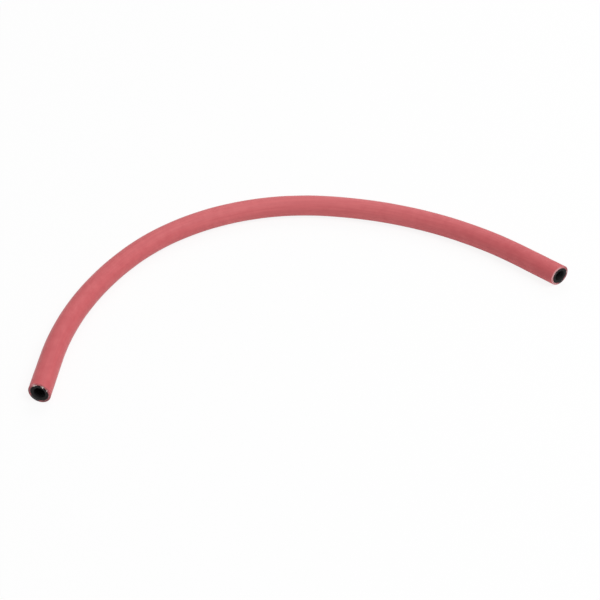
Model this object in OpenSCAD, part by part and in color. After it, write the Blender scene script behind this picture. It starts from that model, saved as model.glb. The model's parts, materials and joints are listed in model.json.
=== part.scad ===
// Rubber vacuum tubing: a hand-cut length of hose, a red rubber cover over a black rubber liner.
// It lies flat in an open bend. Sizes are in millimetres and degrees.

/* [Hose wall] */
// Diameter of the bore, which pushes over a quarter-inch hose barb
bore_d = 6.4; // [4:0.1:10]
// Thickness of the black inner liner
liner_wall = 1.65; // [0.8:0.05:3]
// Thickness of the red outer cover
cover_wall = 1.5; // [0.8:0.05:3]

/* [Bend] */
// Straight run between each cut end and the nearest bend
end_run = 28; // [15:1:60]
// Radius of the first bend after the left end, at the middle of the bore
first_bend_r = 180; // [80:1:300]
// Angle that the first bend turns through
first_bend_turn = 31; // [22:1:42]
// Radius of the middle bend, the tightest one
middle_bend_r = 130; // [80:1:300]
// Angle that the middle bend turns through
middle_bend_turn = 59; // [48:1:75]
// Radius of the last bend before the right end
last_bend_r = 200; // [80:1:300]
// Angle that the last bend turns through
last_bend_turn = 38; // [27:1:50]

/* [Cut ends] */
// Angle of the left cut off square, seen from above
left_cut_turn = -8.5; // [-20:0.5:20]
// Angle of the left cut off upright, with its face turned up if positive
left_cut_lean = 3.5; // [-10:0.5:10]
// Angle of the right cut off square, seen from above
right_cut_turn = -12.5; // [-20:0.5:20]
// Angle of the right cut off upright, with its face turned up if positive
right_cut_lean = 2; // [-10:0.5:10]

/* [Hidden] */
$fn = 96;

liner_d = bore_d + 2 * liner_wall;
hose_d = liner_d + 2 * cover_wall;

bend_r = [first_bend_r, middle_bend_r, last_bend_r];
bend_turn = [first_bend_turn, middle_bend_turn, last_bend_turn];
bends = len(bend_r);

// Both end runs are made overlong, and the slanted cuts take off the spare length
cut_spare = hose_d;

// Runs are placed and turned in a round step and a fine rest, which keeps their joints flush
micron = 0.001;
millionth = 1e-6;
function rounded(values, unit) = [for (v = values) round(v / unit) * unit];

// The hose leaves its left end along +Y, and every bend turns it clockwise
function heading(n) = n == 0 ? 90 : heading(n - 1) - bend_turn[n - 1];
function ahead(angle) = [cos(angle), sin(angle)];
function round_ahead(angle) = rounded(ahead(angle), millionth);
function to_centre(angle) = ahead(angle - 90);
function bend_start(n) =
    n == 0
        ? [0, end_run]
        : bend_centre(n - 1) - bend_r[n - 1] * to_centre(heading(n));
function bend_centre(n) = bend_start(n) + bend_r[n] * to_centre(heading(n));

// Highest point of a bend's centre line in plan: where it heads along +X, or else its nearer end
function bend_top(n) =
    bend_centre(n)[1] + bend_r[n] * cos(max(heading(n + 1), min(heading(n), 0)));

// How far a slanted cut face stands out from its centre, in plan, in the direction of an angle
function cut_reach(outward, turn, lean, angle) =
    let (across = sin(angle - outward), along = cos(angle - outward))
    hose_d / 2 * norm([across - along * tan(turn), along * tan(lean) / cos(turn)]);

// Middle of the whole hose in plan, which becomes the origin
left_outward = heading(0) + 180;
right_outward = heading(bends);
right_end = bend_start(bends) + end_run * ahead(right_outward);
x_low = -hose_d / 2;
x_high = right_end[0] + cut_reach(right_outward, right_cut_turn, right_cut_lean, 0);
y_low = min(
    -cut_reach(left_outward, left_cut_turn, left_cut_lean, 90),
    right_end[1] - cut_reach(right_outward, right_cut_turn, right_cut_lean, 90)
);
y_high = max([for (n = [0 : bends - 1]) bend_top(n)]) + hose_d / 2;
middle = [(x_low + x_high) / 2, (y_low + y_high) / 2];

// Moves its children to a point by whole microns and then by the rest
module place(point) {
    near = rounded(point, micron);
    translate(near)
        translate(point - near)
            children();
}

// Turns its children by a nearby angle whose sine and cosine are round and still make a true turn,
// and then by the rest
module turn_by(angle) {
    span = 0.01;
    step = span / 100;
    nearby = [for (off = [-span : step : span]) angle + off];
    misses = [for (a = nearby) abs(norm(round_ahead(a)) - 1)];
    main = nearby[search(min(misses), misses)[0]];
    rest = angle - atan2(round_ahead(main)[1], round_ahead(main)[0]);
    rotate([0, 0, rest])
        rotate([0, 0, main])
            children();
}

module ring(outer_d, inner_d) {
    difference() {
        circle(d = outer_d);
        circle(d = inner_d);
    }
}

module bend(n, outer_d, inner_d) {
    rotate_extrude(angle = bend_turn[n], start = heading(n + 1) + 90)
        translate([bend_r[n], 0])
            ring(outer_d, inner_d);
}

// What a slanted knife cut takes off an end that points along +Y
module off_cut(turn, lean) {
    block = 3 * hose_d;
    rotate([lean, 0, turn])
        translate([-block / 2, 0, -block / 2])
            cube(block);
}

// Straight run along +Y from a bend to a slanted cut
module cut_run(outer_d, inner_d, turn, lean) {
    difference() {
        rotate([-90, 0, 0])
            linear_extrude(height = end_run + cut_spare)
                ring(outer_d, inner_d);
        translate([0, end_run, 0])
            off_cut(turn, lean);
    }
}

// One rubber layer of the hose, from cut end to cut end
module layer(outer_d, inner_d) {
    translate([-middle[0], -middle[1], hose_d / 2]) {
        place(bend_start(0))
            rotate([0, 0, 180])
                cut_run(outer_d, inner_d, left_cut_turn, left_cut_lean);
        for (n = [0 : bends - 1])
            place(bend_centre(n))
                bend(n, outer_d, inner_d);
        place(bend_start(bends))
            turn_by(heading(bends) - 90)
                cut_run(outer_d, inner_d, right_cut_turn, right_cut_lean);
    }
}

module outer_cover() {
    color([0.78, 0.39, 0.41])
        layer(hose_d, liner_d);
}

module inner_liner() {
    color([0.1, 0.1, 0.1])
        layer(liner_d, bore_d);
}

outer_cover();
inner_liner();
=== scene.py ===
import json
import math
import random

import bpy
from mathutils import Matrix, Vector, noise


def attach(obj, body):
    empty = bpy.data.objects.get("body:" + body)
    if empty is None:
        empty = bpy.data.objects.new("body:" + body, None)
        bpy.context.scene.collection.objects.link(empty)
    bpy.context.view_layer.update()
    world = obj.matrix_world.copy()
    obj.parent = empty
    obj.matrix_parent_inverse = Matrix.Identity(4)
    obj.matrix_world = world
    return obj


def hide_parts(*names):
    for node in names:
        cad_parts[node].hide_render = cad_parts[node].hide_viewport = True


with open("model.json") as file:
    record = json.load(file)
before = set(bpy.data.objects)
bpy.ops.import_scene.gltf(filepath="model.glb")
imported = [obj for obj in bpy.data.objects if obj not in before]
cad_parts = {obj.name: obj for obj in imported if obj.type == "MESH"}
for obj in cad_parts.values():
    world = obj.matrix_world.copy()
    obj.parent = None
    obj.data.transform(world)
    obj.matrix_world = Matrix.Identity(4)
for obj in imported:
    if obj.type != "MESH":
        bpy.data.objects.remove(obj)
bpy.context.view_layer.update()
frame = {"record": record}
scene = bpy.context.scene


# Camera
# The hose lies on a white table and is seen from in front and well above, through a long lens,
# so that both cut ends and the whole bend are in the picture.
camera_place = (0.0444, -0.6016, 0.4960)
camera_turn = (math.radians(50.715), math.radians(0.239), math.radians(4.904))
lens_mm = 80.38
sensor_mm = 36

camera = bpy.data.objects.new("camera", bpy.data.cameras.new("camera"))
scene.collection.objects.link(camera)
camera.data.lens = lens_mm
camera.data.sensor_width = sensor_mm
camera.location = camera_place
camera.rotation_euler = camera_turn
scene.camera = camera


# Lie of the hose
# The hose is stiff enough to keep the open bend that it lies in, flat on the table: a straight run
# at each cut end and three bends of different radius between. Every layer is made straight and laid.
end_run = 0.028
bends = ((0.180, math.radians(31)), (0.130, math.radians(59)), (0.200, math.radians(38)))
hose_length = 2 * end_run + sum(radius * turn for radius, turn in bends)
fine_step = 0.002


def centre_line(start, spacing):
    """Points along the middle of the bore, from the left cut to the right one."""
    points = [Vector(start)]
    heading = math.pi / 2
    runs = [(end_run, 0), *((radius * turn, 1 / radius) for radius, turn in bends), (end_run, 0)]
    for length, curve in runs:
        from_point = points[-1]
        steps = math.ceil(length / spacing)
        for step in range(1, steps + 1):
            gone = length * step / steps
            if curve:
                turned = heading - gone * curve
                ahead = (math.sin(heading) - math.sin(turned)) / curve
                across = (math.cos(turned) - math.cos(heading)) / curve
            else:
                ahead, across = gone * math.cos(heading), gone * math.sin(heading)
            points.append(from_point + Vector((ahead, across, 0)))
        heading -= length * curve
    return points


mounts = {mount["name"]: mount for mount in frame["record"]["mounts"]}
left_end = mounts["left_bore"]["pos_m"]
fine_route = centre_line(left_end, fine_step)

route_curve = bpy.data.curves.new("route", "CURVE")
route_curve.dimensions = "3D"
spline = route_curve.splines.new("POLY")
spline.points.add(len(fine_route) - 1)
for spot, point in zip(spline.points, fine_route):
    spot.co = (*point, 1)
route_object = bpy.data.objects.new("route", route_curve)
scene.collection.objects.link(route_object)


def add_node(tree, kind, inputs=(), **settings):
    """A new node, with its settings, and with each input set to a value or linked to a socket."""
    node = tree.nodes.new(kind)
    for name, value in settings.items():
        setattr(node, name, value)
    for key, value in dict(inputs).items():
        if isinstance(value, bpy.types.NodeSocket):
            tree.links.new(value, node.inputs[key])
        else:
            node.inputs[key].default_value = value
    return node


def new_tree(name, kind, inputs, outputs):
    """An empty node group with named sockets, as (name, socket type) pairs."""
    tree = bpy.data.node_groups.new(name, kind)
    for socket_name, socket_type in inputs:
        tree.interface.new_socket(socket_name, in_out="INPUT", socket_type=socket_type)
    for socket_name, socket_type in outputs:
        tree.interface.new_socket(socket_name, in_out="OUTPUT", socket_type=socket_type)
    return tree, tree.nodes.new("NodeGroupInput").outputs, tree.nodes.new("NodeGroupOutput").inputs


def vector_math(tree, operation, first, second):
    """The result of a vector operation on two vectors, or on a vector and a number to scale it by."""
    key = "Scale" if operation == "SCALE" else 1
    node = add_node(tree, "ShaderNodeVectorMath", {0: first, key: second}, operation=operation)
    return node.outputs["Vector"]


def sum_of(tree, first, gain, second=0.0):
    """First times gain, plus second."""
    node = add_node(tree, "ShaderNodeMath", {0: first, 1: gain, 2: second}, operation="MULTIPLY_ADD")
    return node.outputs["Value"]


# The tree takes a layer that stands straight along +Y and lays it along the route. It keeps each
# point's straight place, which the finishes follow.
lay_tree, given, result = new_tree(
    "lay_along_route",
    "GeometryNodeTree",
    [("Geometry", "NodeSocketGeometry"), ("Route", "NodeSocketObject"), ("Finish", "NodeSocketMaterial")],
    [("Geometry", "NodeSocketGeometry")],
)
curve = add_node(lay_tree, "GeometryNodeObjectInfo", {"Object": given["Route"]}).outputs["Geometry"]
full_length = add_node(lay_tree, "GeometryNodeCurveLength", {"Curve": curve}).outputs["Length"]
straight = add_node(lay_tree, "GeometryNodeInputPosition").outputs["Position"]
kept = add_node(
    lay_tree,
    "GeometryNodeStoreNamedAttribute",
    {"Geometry": given["Geometry"], "Name": "straight", "Value": straight},
    data_type="FLOAT_VECTOR",
    domain="POINT",
)
parts = add_node(lay_tree, "ShaderNodeSeparateXYZ", {"Vector": straight}).outputs
on_route = add_node(
    lay_tree, "ShaderNodeClamp", {"Value": parts["Y"], "Min": 0.0, "Max": full_length}
).outputs["Result"]
sample = add_node(
    lay_tree,
    "GeometryNodeSampleCurve",
    {"Curves": curve, "Length": on_route},
    mode="LENGTH",
    use_all_curves=True,
).outputs
sideways = vector_math(lay_tree, "CROSS_PRODUCT", sample["Tangent"], (0, 0, 1))
past_end = sum_of(lay_tree, on_route, -1.0, parts["Y"])
laid = sample["Position"]
for shift in (
    vector_math(lay_tree, "SCALE", sideways, parts["X"]),
    vector_math(lay_tree, "SCALE", sample["Tangent"], past_end),
    add_node(lay_tree, "ShaderNodeCombineXYZ", {"Z": parts["Z"]}).outputs["Vector"],
):
    laid = vector_math(lay_tree, "ADD", laid, shift)
moved = add_node(
    lay_tree, "GeometryNodeSetPosition", {"Geometry": kept.outputs["Geometry"], "Position": laid}
)
whole = add_node(lay_tree, "GeometryNodeRealizeInstances", {"Geometry": moved.outputs["Geometry"]})
finished = add_node(
    lay_tree,
    "GeometryNodeSetMaterial",
    {"Geometry": whole.outputs["Geometry"], "Material": given["Finish"]},
)
lay_tree.links.new(finished.outputs["Geometry"], result["Geometry"])


def use_tree(piece, tree, values):
    """Puts a geometry tree on a piece, with its named inputs set."""
    modifier = piece.modifiers.new(tree.name, "NODES")
    modifier.node_group = tree
    for item in tree.interface.items_tree:
        if item.in_out == "INPUT" and item.name in values:
            modifier[item.identifier] = values[item.name]


def lay(piece, finish):
    """Lays a straight piece along the route, as a plain mesh with its finish."""
    use_tree(piece, lay_tree, {"Route": route_object, "Finish": finish})
    graph = bpy.context.evaluated_depsgraph_get()
    mesh = bpy.data.meshes.new_from_object(
        piece.evaluated_get(graph), preserve_all_data_layers=True, depsgraph=graph
    )
    piece.modifiers.clear()
    piece.data = mesh
    mesh.shade_smooth()


# Inner liner
# The black liner is a thick-walled rubber tube, extruded first, with the bore through it. A knife has
# cut it through with the cover, so each end is a flat, slightly slanted face with torn edges.
bore_r = mounts["left_bore"]["dims"]["r_mm"] / 1000
liner_wall = 0.00165
liner_r = bore_r + liner_wall
mouth_edge = 0.0002
seam_edge = 0.00012
left_cut = (math.radians(-8.5), math.radians(3.5))
right_cut = (math.radians(-12.5), math.radians(2))
slant_reach = 0.014
liner_face_crown = 0.00012
sides = 128
edge_steps = 4
face_steps = 9
bore_rings = 220
hidden_rings = 90

# Tears that the knife left, as (height, length, seed), how far they reach in from a cut, and how
# much finer and lower the small tears on them are
seam_tear = (0.00013, 0.0009, 0)
mouth_tear = (0.0001, 0.0016, 3)
liner_face_tear = (0.00005, 0.0012, 5)
tear_reach = 0.0015
small_tear_fineness = 2.3
small_tear_share = 0.5


def slant(cut, right, up):
    """How far a slanted cut stands out at a place on its face, right and up seen along the hose."""
    turn, lean = cut
    return right * math.tan(turn) - up * math.tan(lean) / math.cos(turn)


def straight_place(y, r, angle):
    """A point of the straight hose, drawn out near each end to meet the slanted cut."""
    x, z = r * math.cos(angle), r * math.sin(angle)
    near_left = max(0, 1 - y / slant_reach)
    near_right = max(0, 1 - (hose_length - y) / slant_reach)
    out = near_right * slant(right_cut, x, z) - near_left * slant(left_cut, -x, z)
    return Vector((x, y + out, z))


def torn(tear, end, angle, reach=0):
    """Unevenness of a tear at a place round a cut end. It is longer further out on the face."""
    height, length, seed = tear
    spot = Vector((math.cos(angle), math.sin(angle), 0)) * liner_r / (length * (1 + reach / 3))
    own_layer = 40 * (end + seed)
    coarse = noise.noise(spot + Vector((0, 0, own_layer)))
    fine = noise.noise(small_tear_fineness * spot + Vector((7, 0, own_layer)))
    return height * (coarse + small_tear_share * fine)


def end_of(y):
    """The end that a place along the hose is nearer to, 0 or 1, its outward way, and how torn it is."""
    end = int(y > hose_length / 2)
    depth = min(y, hose_length - y)
    return end, 2 * end - 1, max(0, 1 - depth / tear_reach)


def wall_places(count, margin):
    """Ring places along a wall, close together near the cuts and wider in between."""
    crowding = 0.72
    for step in range(count + 1):
        share = step / count
        eased = share - crowding * math.sin(2 * math.pi * share) / (2 * math.pi)
        yield margin + (hose_length - 2 * margin) * eased


def layer_rings(outer_r, inner_r, outer_edge, inner_edge, outer_count, inner_count):
    """Rings of a layer as (place along the hose, radius, share of cut face), round its whole skin."""
    top, bottom = outer_r - outer_edge, inner_r + inner_edge
    turns = [math.pi / 2 * step / edge_steps for step in range(1, edge_steps)]
    end = []
    for turn in turns:
        along, out = math.sin(turn), math.cos(turn)
        end.append((outer_edge * (1 - along), top + outer_edge * out, along))
    for step in range(face_steps + 1):
        end.append((0, top + (bottom - top) * step / face_steps, 1))
    for turn in turns:
        along, inward = math.cos(turn), math.sin(turn)
        end.append((inner_edge * (1 - along), bottom - inner_edge * inward, along))
    rings = [(y, outer_r, 0) for y in wall_places(outer_count, outer_edge)]
    rings += [(hose_length - y, r, cut) for y, r, cut in end]
    rings += [(y, inner_r, 0) for y in reversed(list(wall_places(inner_count, inner_edge)))]
    rings += [(y, r, cut) for y, r, cut in reversed(end)]
    return rings


def mark(mesh, name, levels):
    """Keeps a level for each point of a mesh, which its finish reads by name."""
    mesh.attributes.new(name, "FLOAT", "POINT").data.foreach_set("value", levels)


def layer_piece(name, rings, shaped):
    """A straight layer as a closed mesh. shaped gives each point's place from its ring and angle."""
    points, cuts, faces = [], [], []
    for y, r, cut in rings:
        for side in range(sides):
            points.append(shaped(y, r, cut, 2 * math.pi * side / sides))
            cuts.append(cut)
    for ring in range(len(rings)):
        here, there = ring * sides, (ring + 1) % len(rings) * sides
        for side in range(sides):
            beside = (side + 1) % sides
            faces.append((here + side, there + side, there + beside, here + beside))
    mesh = bpy.data.meshes.new(name)
    mesh.from_pydata(points, [], faces)
    mark(mesh, "cut", cuts)
    piece = bpy.data.objects.new(name, mesh)
    scene.collection.objects.link(piece)
    return piece


def liner_place(y, r, cut, angle):
    """A point of the liner: out of round where it is torn, and a little crowned on the cut."""
    end, outward, near = end_of(y)
    reach = (r - bore_r) / liner_wall
    seam = reach * torn(seam_tear, end, angle)
    mouth = (1 - reach) * torn(mouth_tear, end, angle)
    place = straight_place(y, r + near * (seam + mouth), angle)
    crown = liner_face_crown * math.sin(math.pi * reach)
    place.y += outward * cut * (crown + torn(liner_face_tear, end, angle, reach))
    return place


def srgb(*levels):
    """A colour given in everyday 0 to 255 levels, as the shader takes it."""
    shares = [level / 255 for level in levels]
    linear = [s / 12.92 if s <= 0.04045 else ((s + 0.055) / 1.055) ** 2.4 for s in shares]
    return (*linear, 1)


def ranged(tree, value, low, high):
    """A value as a share that rises softly from 0 at low to 1 at high."""
    node = add_node(
        tree,
        "ShaderNodeMapRange",
        {"Value": value, "From Min": low, "From Max": high},
        interpolation_type="SMOOTHSTEP",
    )
    return node.outputs["Result"]


def clouds(tree, spot, scale, detail, roughness=0.5):
    """Soft random clouds over a surface, as a share from 0 to 1."""
    usual_span = (0.3, 0.7)
    cloud = add_node(
        tree,
        "ShaderNodeTexNoise",
        {"Vector": spot, "Scale": scale, "Detail": detail, "Roughness": roughness},
    )
    return ranged(tree, cloud.outputs["Fac"], *usual_span)


# Skin of cured rubber: soft blotches, faint streaks along the hose and a fine matte grain
skin_group, given, result = new_tree(
    "rubber_skin",
    "ShaderNodeTree",
    [
        ("Place", "NodeSocketVector"),
        ("Blotch Scale", "NodeSocketFloat"),
        ("Streak Scale", "NodeSocketFloat"),
        ("Grain Scale", "NodeSocketFloat"),
    ],
    [("Blotch", "NodeSocketFloat"), ("Streak", "NodeSocketFloat"), ("Grain", "NodeSocketFloat")],
)
drawn_out = vector_math(skin_group, "MULTIPLY", given["Place"], (1, 0.03, 1))
for output, spot, detail in (
    ("Blotch", given["Place"], 3),
    ("Streak", drawn_out, 2),
    ("Grain", given["Place"], 2),
):
    share = clouds(skin_group, spot, given[output + " Scale"], detail)
    skin_group.links.new(share, result[output])

# Knife marks on a cut face: fine parallel strokes, broken up by small tears
knife_group, given, result = new_tree(
    "knife_marks",
    "ShaderNodeTree",
    [("Place", "NodeSocketVector"), ("Stroke Scale", "NodeSocketFloat"), ("Slope", "NodeSocketFloat")],
    [("Stroke", "NodeSocketFloat"), ("Tear", "NodeSocketFloat")],
)
turned = add_node(
    knife_group,
    "ShaderNodeVectorRotate",
    {"Vector": given["Place"], "Angle": given["Slope"]},
    rotation_type="Y_AXIS",
).outputs["Vector"]
dragged = vector_math(knife_group, "MULTIPLY", turned, (1, 0.2, 0.06))
for output, spot, detail, roughness in (
    ("Stroke", dragged, 3, 0.5),
    ("Tear", given["Place"], 4, 0.7),
):
    share = clouds(knife_group, spot, given["Stroke Scale"], detail, roughness)
    knife_group.links.new(share, result[output])


def new_finish(name):
    """An empty material, with its nodes and its shader."""
    finish = bpy.data.materials.new(name)
    finish.use_nodes = True
    return finish, finish.node_tree, finish.node_tree.nodes["Principled BSDF"]


def level_of(tree, name):
    """The level that a mesh keeps under a name."""
    return add_node(tree, "ShaderNodeAttribute", attribute_name=name).outputs["Fac"]


def place_group(tree, group, values):
    """A shared group in a material, on the straight place of each point; gives its outputs."""
    straight = add_node(tree, "ShaderNodeAttribute", attribute_name="straight").outputs["Vector"]
    return add_node(tree, "ShaderNodeGroup", {"Place": straight, **values}, node_tree=group).outputs


def mix_colour(tree, share, first, second):
    """First colour where share is 0 and second where it is 1."""
    mix = add_node(tree, "ShaderNodeMix", {0: share, 6: first, 7: second}, data_type="RGBA")
    return mix.outputs[2]


def add_relief(tree, shader, height):
    """Fine relief on a finish, from the height of its marks."""
    bump = add_node(tree, "ShaderNodeBump", {"Strength": 0.5, "Distance": 0.00006, "Height": height})
    tree.links.new(bump.outputs["Normal"], shader.inputs["Normal"])


liner_black = srgb(22, 22, 23)
liner_bloom = srgb(38, 37, 38)
liner_cut = srgb(36, 35, 34)

liner_finish, tree, shader = new_finish("liner_rubber")
cut = level_of(tree, "cut")
skin = place_group(tree, skin_group, {"Blotch Scale": 260, "Streak Scale": 1400, "Grain Scale": 5200})
knife = place_group(tree, knife_group, {"Stroke Scale": 2600, "Slope": 0.9})
wall_colour = mix_colour(tree, sum_of(tree, skin["Blotch"], 0.5), liner_black, liner_bloom)
face_colour = mix_colour(tree, knife["Stroke"], liner_black, liner_cut)
tree.links.new(mix_colour(tree, cut, wall_colour, face_colour), shader.inputs["Base Color"])
tree.links.new(sum_of(tree, skin["Grain"], 0.12, 0.62), shader.inputs["Roughness"])
shader.inputs["Specular IOR Level"].default_value = 0.15
cut_marks = sum_of(tree, knife["Stroke"], cut)
add_relief(tree, shader, sum_of(tree, skin["Grain"], 0.4, cut_marks))

liner_rings = layer_rings(liner_r, bore_r, seam_edge, mouth_edge, hidden_rings, bore_rings)
liner = layer_piece("inner_liner_tube", liner_rings, liner_place)
lay(liner, liner_finish)
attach(liner, "root")
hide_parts("inner_liner")


# Reinforcing yarn
# A braid of pale textile yarn is moulded in between liner and cover. Only its cut ends show, on the
# line between black and red: most are flush and dark with rubber, and a few have frayed into tufts.
yarn_ends = 26
yarn_lift = 0.0003
yarn_r = liner_r + yarn_lift
yarn_stray = 0.35
flush_fray = (0.05, 0.24)
yarn_draw = random.Random(8)

# Frayed ends, as (end, degrees round from the inside of the bend, how far it has frayed). The first
# four lie close together and make one thick tuft.
tufts = [(0, 62, 1.1), (0, 59, 0.9), (0, 66, 0.9), (0, 63, 0.7), (0, 118, 0.9), (0, 104, 0.6)]
tufts += [(0, 28, 0.7), (0, 348, 0.5), (1, 35, 0.45), (1, 173, 0.5)]
for end in (0, 1):
    for count in range(yarn_ends):
        angle = 360 * (count + yarn_draw.uniform(-yarn_stray, yarn_stray)) / yarn_ends
        tufts.append((end, angle, yarn_draw.uniform(*flush_fray)))

mesh = bpy.data.meshes.new("yarn_ends")
points = [straight_place(end * hose_length, yarn_r, math.radians(angle)) for end, angle, fray in tufts]
mesh.from_pydata(points, [], [])
mark(mesh, "fray", [fray for end, angle, fray in tufts])
mark(mesh, "outward", [2 * end - 1 for end, angle, fray in tufts])
yarn = bpy.data.objects.new("yarn_ends", mesh)
scene.collection.objects.link(yarn)

yarn_tree, given, result = new_tree(
    "yarn_strands",
    "GeometryNodeTree",
    [
        ("Geometry", "NodeSocketGeometry"),
        ("Strands", "NodeSocketInt"),
        ("Yarn Radius", "NodeSocketFloat"),
        ("Strand Radius", "NodeSocketFloat"),
        ("Strand Length", "NodeSocketFloat"),
        ("Lean", "NodeSocketFloat"),
        ("Seed", "NodeSocketInt"),
        ("Finish", "NodeSocketMaterial"),
    ],
    [("Geometry", "NodeSocketGeometry")],
)


def point_level(tree, name):
    """The level that each point keeps under a name, in a geometry tree."""
    node = add_node(tree, "GeometryNodeInputNamedAttribute", {"Name": name}, data_type="FLOAT")
    return node.outputs["Attribute"]


def random_vector(tree, seed):
    """A random vector for each strand, from -1 to 1 on each axis."""
    node = add_node(
        tree,
        "FunctionNodeRandomValue",
        {"Min": (-1, -1, -1), "Max": (1, 1, 1), "Seed": seed},
        data_type="FLOAT_VECTOR",
    )
    return node.outputs["Value"]


# Each yarn end becomes a bundle of strands, which spread, lean and reach out as far as it has frayed
fray = point_level(yarn_tree, "fray")
copies = add_node(
    yarn_tree,
    "GeometryNodeDuplicateElements",
    {"Geometry": given["Geometry"], "Amount": given["Strands"]},
    domain="POINT",
)
spread = sum_of(yarn_tree, given["Yarn Radius"], fray)
scatter = vector_math(yarn_tree, "SCALE", random_vector(yarn_tree, given["Seed"]), spread)
scattered = add_node(
    yarn_tree, "GeometryNodeSetPosition", {"Geometry": copies.outputs["Geometry"], "Offset": scatter}
)
other_seed = sum_of(yarn_tree, given["Seed"], 1.0, 1.0)
lean = vector_math(yarn_tree, "SCALE", random_vector(yarn_tree, other_seed), given["Lean"])
outward = add_node(yarn_tree, "ShaderNodeCombineXYZ", {"Y": point_level(yarn_tree, "outward")})
leaning = vector_math(yarn_tree, "ADD", outward.outputs["Vector"], lean)
facing = add_node(yarn_tree, "FunctionNodeAlignRotationToVector", {"Vector": leaning}, axis="Z")
strand_line = add_node(
    yarn_tree,
    "GeometryNodeCurveQuadraticBezier",
    {"Resolution": 4, "Start": (0, 0, -0.4), "Middle": (0.25, 0, 0.4), "End": (0, 0.2, 1)},
)
strand_size = vector_math(yarn_tree, "SCALE", (1, 1, 1), given["Strand Length"])
long_line = add_node(
    yarn_tree, "GeometryNodeTransform", {"Geometry": strand_line.outputs["Curve"], "Scale": strand_size}
)
round_section = add_node(
    yarn_tree, "GeometryNodeCurvePrimitiveCircle", {"Resolution": 6, "Radius": given["Strand Radius"]}
)
strand = add_node(
    yarn_tree,
    "GeometryNodeCurveToMesh",
    {
        "Curve": long_line.outputs["Geometry"],
        "Profile Curve": round_section.outputs["Curve"],
        "Fill Caps": True,
    },
)
reach = add_node(yarn_tree, "ShaderNodeCombineXYZ", {"X": 1.0, "Y": 1.0, "Z": fray})
strands = add_node(
    yarn_tree,
    "GeometryNodeInstanceOnPoints",
    {
        "Points": scattered.outputs["Geometry"],
        "Instance": strand.outputs["Mesh"],
        "Rotation": facing.outputs["Rotation"],
        "Scale": reach.outputs["Vector"],
    },
)
shade = add_node(yarn_tree, "FunctionNodeRandomValue", {"Seed": given["Seed"]}, data_type="FLOAT")
shaded = add_node(
    yarn_tree,
    "GeometryNodeStoreNamedAttribute",
    {"Geometry": strands.outputs["Instances"], "Name": "shade", "Value": shade.outputs[1]},
    data_type="FLOAT",
    domain="INSTANCE",
)
single = add_node(yarn_tree, "GeometryNodeRealizeInstances", {"Geometry": shaded.outputs["Geometry"]})
coloured = add_node(
    yarn_tree,
    "GeometryNodeSetMaterial",
    {"Geometry": single.outputs["Geometry"], "Material": given["Finish"]},
)
yarn_tree.links.new(coloured.outputs["Geometry"], result["Geometry"])

yarn_white = srgb(236, 222, 218)
yarn_soiled = srgb(72, 62, 62)

yarn_finish, tree, shader = new_finish("yarn_textile")
cleanness = sum_of(tree, level_of(tree, "shade"), 0.3, level_of(tree, "fray"))
yarn_colour = mix_colour(tree, ranged(tree, cleanness, 0.3, 0.9), yarn_soiled, yarn_white)
tree.links.new(yarn_colour, shader.inputs["Base Color"])
shader.inputs["Roughness"].default_value = 0.85
shader.inputs["Sheen Weight"].default_value = 0.3

use_tree(
    yarn,
    yarn_tree,
    {
        "Strands": 9,
        "Yarn Radius": 0.00034,
        "Strand Radius": 0.00007,
        "Strand Length": 0.0007,
        "Lean": 0.8,
        "Seed": 4,
        "Finish": yarn_finish,
    },
)
lay(yarn, yarn_finish)
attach(yarn, "root")


# Outer cover
# The red cover is rubber extruded over the braid and cured with a soft matte skin. Its freshly cut
# rim is paler than the skin in places, partly as painted highlight, and painted shade in black and
# dark mauve lies mostly over the lower part of the rim, where it faces the table.
cover_wall = 0.0015
hose_r = liner_r + cover_wall
rim_edge = 0.0002
cover_face_tear = (0.00006, 0.0012, 9)
skin_rings = 380
cord_step = 0.012

# Unevenness of the skin, as (height, length) of its waves, and the stretch in the middle of the bend that
# is paler
skin_waves = ((0.00005, 0.011), (0.00002, 0.004))
paler_middle = 0.25
paler_reach = 0.11


def cover_place(y, r, cut, angle):
    """A point of the cover: torn at the seam near a cut, uneven outside, and flat where it rests."""
    end, outward, near = end_of(y)
    reach = (r - liner_r) / cover_wall
    lie = Vector((r * math.cos(angle), y, r * math.sin(angle)))
    uneven = sum(height * noise.noise(lie / length) for height, length in skin_waves)
    r += near * (1 - reach) * torn(seam_tear, end, angle) + reach * uneven
    place = straight_place(y, r, angle)
    place.y += outward * cut * torn(cover_face_tear, end, angle, reach)
    place.z = max(place.z, -hose_r)
    return place


# Patches round the cut rim, as (end, angle, half width, strength) with angles in degrees from the
# inside of the bend: painted shade, dark as black rubber, mostly over the lower part of the rim
# where it faces the table, and pale streaks, partly paler fresh-cut rubber and partly painted highlight
rim_shade_patches = [(0, 234, 50, 1.0), (0, 300, 68, 0.42), (0, 175, 56, 0.35)]
rim_shade_patches += [(1, 190, 85, 0.38), (1, 250, 36, 0.8)]
pale_and_highlight_streaks = [(0, 120, 18, 0.8), (1, 45, 95, 0.9), (1, 320, 58, 0.7), (1, 178, 16, 0.9)]


def patch_level(patches, end, angle):
    """Strength of the patches at a place on a rim, fading out to their sides."""
    level = 0
    for patch_end, at, half_width, strength in patches:
        off = abs((math.degrees(angle) - at + 180) % 360 - 180) / half_width
        if patch_end == end and off < 1:
            level = max(level, strength * (1 - off * off) ** 2)
    return level


def paler_level(y):
    """How much paler the rubber is along the hose: most in the middle of the bend."""
    return math.exp(-(((y - paler_middle) / paler_reach) ** 2))


cover_red = srgb(196, 85, 90)
cover_paler = srgb(211, 104, 107)
cover_deep = srgb(180, 72, 79)
rim_red = srgb(188, 84, 90)
rim_pale = srgb(220, 168, 170)
# The dark mauve below is painted shade for the lower rim
rim_shade_mauve = srgb(84, 52, 58)

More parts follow.
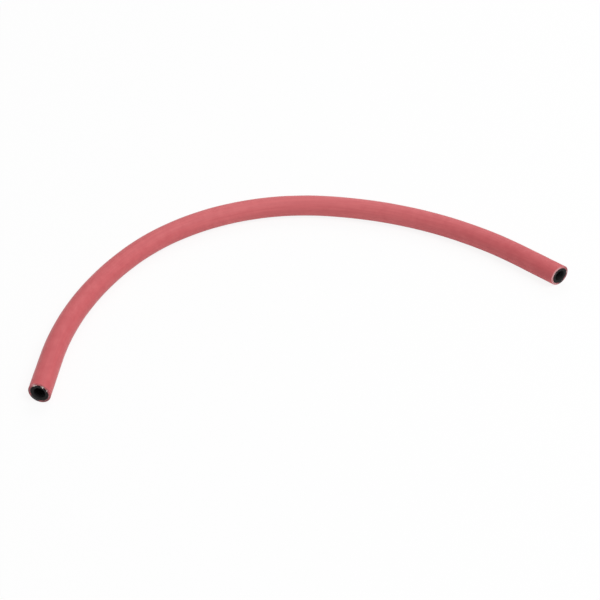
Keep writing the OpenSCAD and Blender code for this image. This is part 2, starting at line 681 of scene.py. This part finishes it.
cover_finish, tree, shader = new_finish("cover_rubber")
cut, rim, rim_shade = level_of(tree, "cut"), level_of(tree, "rim"), level_of(tree, "rim_shade")
pale, paler_stretch = level_of(tree, "pale"), level_of(tree, "paler_stretch")
skin = place_group(tree, skin_group, {"Blotch Scale": 190, "Streak Scale": 900, "Grain Scale": 4200})
knife = place_group(tree, knife_group, {"Stroke Scale": 2200, "Slope": 0.6})
# A paler stretch along the middle of the bend, with soft blotches
paler_share = sum_of(tree, paler_stretch, 0.85, sum_of(tree, skin["Blotch"], 0.4))
wall_colour = mix_colour(tree, paler_share, cover_red, cover_paler)
wall_colour = mix_colour(tree, sum_of(tree, skin["Streak"], 0.25), wall_colour, cover_deep)
face_colour = mix_colour(tree, sum_of(tree, knife["Stroke"], 0.2), rim_red, rim_pale)
# Painted shade over the lower rim: dark mauve, then black reaching out from the seam
painted_rim_shade = sum_of(tree, rim_shade, sum_of(tree, knife["Tear"], 1.2, 0.8))
face_colour = mix_colour(tree, painted_rim_shade, face_colour, rim_shade_mauve)
# Pale streaks on the rim: partly paler fresh-cut rubber, partly painted highlight
pale_and_highlight_share = sum_of(tree, pale, sum_of(tree, knife["Stroke"], 0.8, 0.5))
face_colour = mix_colour(tree, pale_and_highlight_share, face_colour, rim_pale)
seam_and_shade_reach = sum_of(tree, rim_shade, rim_shade, sum_of(tree, knife["Tear"], 0.34, -0.06))
black = ranged(tree, sum_of(tree, rim, -1.0, seam_and_shade_reach), -0.07, 0.07)
face_colour = mix_colour(tree, black, face_colour, liner_black)
skin_colour = mix_colour(tree, cut, wall_colour, face_colour)
cover_colour = mix_colour(tree, ranged(tree, rim, 0.02, 0.1), liner_black, skin_colour)
tree.links.new(cover_colour, shader.inputs["Base Color"])
tree.links.new(sum_of(tree, skin["Grain"], 0.14, 0.55), shader.inputs["Roughness"])
shader.inputs["Sheen Weight"].default_value = 0.3
shader.inputs["Sheen Roughness"].default_value = 0.3
cut_marks = sum_of(tree, knife["Stroke"], cut)
add_relief(tree, shader, sum_of(tree, skin["Grain"], 0.5, cut_marks))

cover_rings = layer_rings(hose_r, liner_r, rim_edge, seam_edge, skin_rings, hidden_rings)
cover = layer_piece("outer_cover_tube", cover_rings, cover_place)
# Rim levels: painted shade on the lower rim, and pale streaks that are partly painted highlight
levels = {"rim": [], "paler_stretch": [], "rim_shade": [], "pale": []}
for y, r, cut in cover_rings:
    end = end_of(y)[0]
    for side in range(sides):
        angle = 2 * math.pi * side / sides
        levels["rim"].append((r - liner_r) / cover_wall)
        levels["paler_stretch"].append(paler_level(y))
        levels["rim_shade"].append(patch_level(rim_shade_patches, end, angle))
        levels["pale"].append(patch_level(pale_and_highlight_streaks, end, angle))
for name, values in levels.items():
    mark(cover.data, name, values)
lay(cover, cover_finish)
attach(cover, "root")
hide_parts("outer_cover")
centre_line(left_end, cord_step)
bpy.data.objects.remove(route_object)


# Table and light
# A plain white table under soft studio light: a broad lamp above on the right, a weaker one behind
# and pale surroundings. The table reads as white in the picture and keeps a faint shadow.
table_size = 8
table_white = srgb(252, 252, 252)
shadow_share = 0.12
room_light = 0.41
white = (1, 1, 1, 1)


def seen_share(tree):
    """1 on what the camera sees, also in a gloss or through glass, and 0 on what lights the object."""
    rays = add_node(tree, "ShaderNodeLightPath").outputs
    seen = rays["Is Camera Ray"]
    for ray in ("Is Glossy Ray", "Is Transmission Ray"):
        node = add_node(tree, "ShaderNodeMath", {0: seen, 1: rays[ray]}, operation="MAXIMUM")
        seen = node.outputs["Value"]
    return seen


bpy.ops.mesh.primitive_plane_add(size=table_size)
table = bpy.context.object
table.name = "table"
table_finish = bpy.data.materials.new("table_white")
table_finish.use_nodes = True
tree = table_finish.node_tree
tree.nodes.clear()
matte = add_node(tree, "ShaderNodeBsdfDiffuse", {"Color": table_white}).outputs["BSDF"]
glow = add_node(tree, "ShaderNodeEmission", {"Color": white, "Strength": 1.0}).outputs["Emission"]
glow_share = sum_of(tree, seen_share(tree), 1 - shadow_share)
both = add_node(tree, "ShaderNodeMixShader", {0: glow_share, 1: matte, 2: glow})
add_node(tree, "ShaderNodeOutputMaterial", {"Surface": both.outputs["Shader"]})
table.data.materials.append(table_finish)


def add_lamp(name, place, size, watts):
    """A square soft lamp, aimed at the middle of the table."""
    data = bpy.data.lights.new(name, "AREA")
    data.size = size
    data.energy = watts
    lamp = bpy.data.objects.new(name, data)
    lamp.location = place
    lamp.rotation_euler = (-Vector(place)).to_track_quat("-Z", "Y").to_euler()
    scene.collection.objects.link(lamp)


add_lamp("main_lamp", place=(1.17, -0.39, 2.18), size=1.5, watts=34.5)
add_lamp("back_lamp", place=(0.25, 1.75, 1.75), size=1.2, watts=11)

world = bpy.data.worlds.new("surroundings")
world.use_nodes = True
scene.world = world
tree = world.node_tree
tree.nodes.clear()
room, backdrop = (
    add_node(tree, "ShaderNodeBackground", {"Color": white, "Strength": level}).outputs["Background"]
    for level in (room_light, 1.0)
)
both = add_node(tree, "ShaderNodeMixShader", {0: seen_share(tree), 1: room, 2: backdrop})
add_node(tree, "ShaderNodeOutputWorld", {"Surface": both.outputs["Shader"]})

scene.view_settings.view_transform = "Standard"
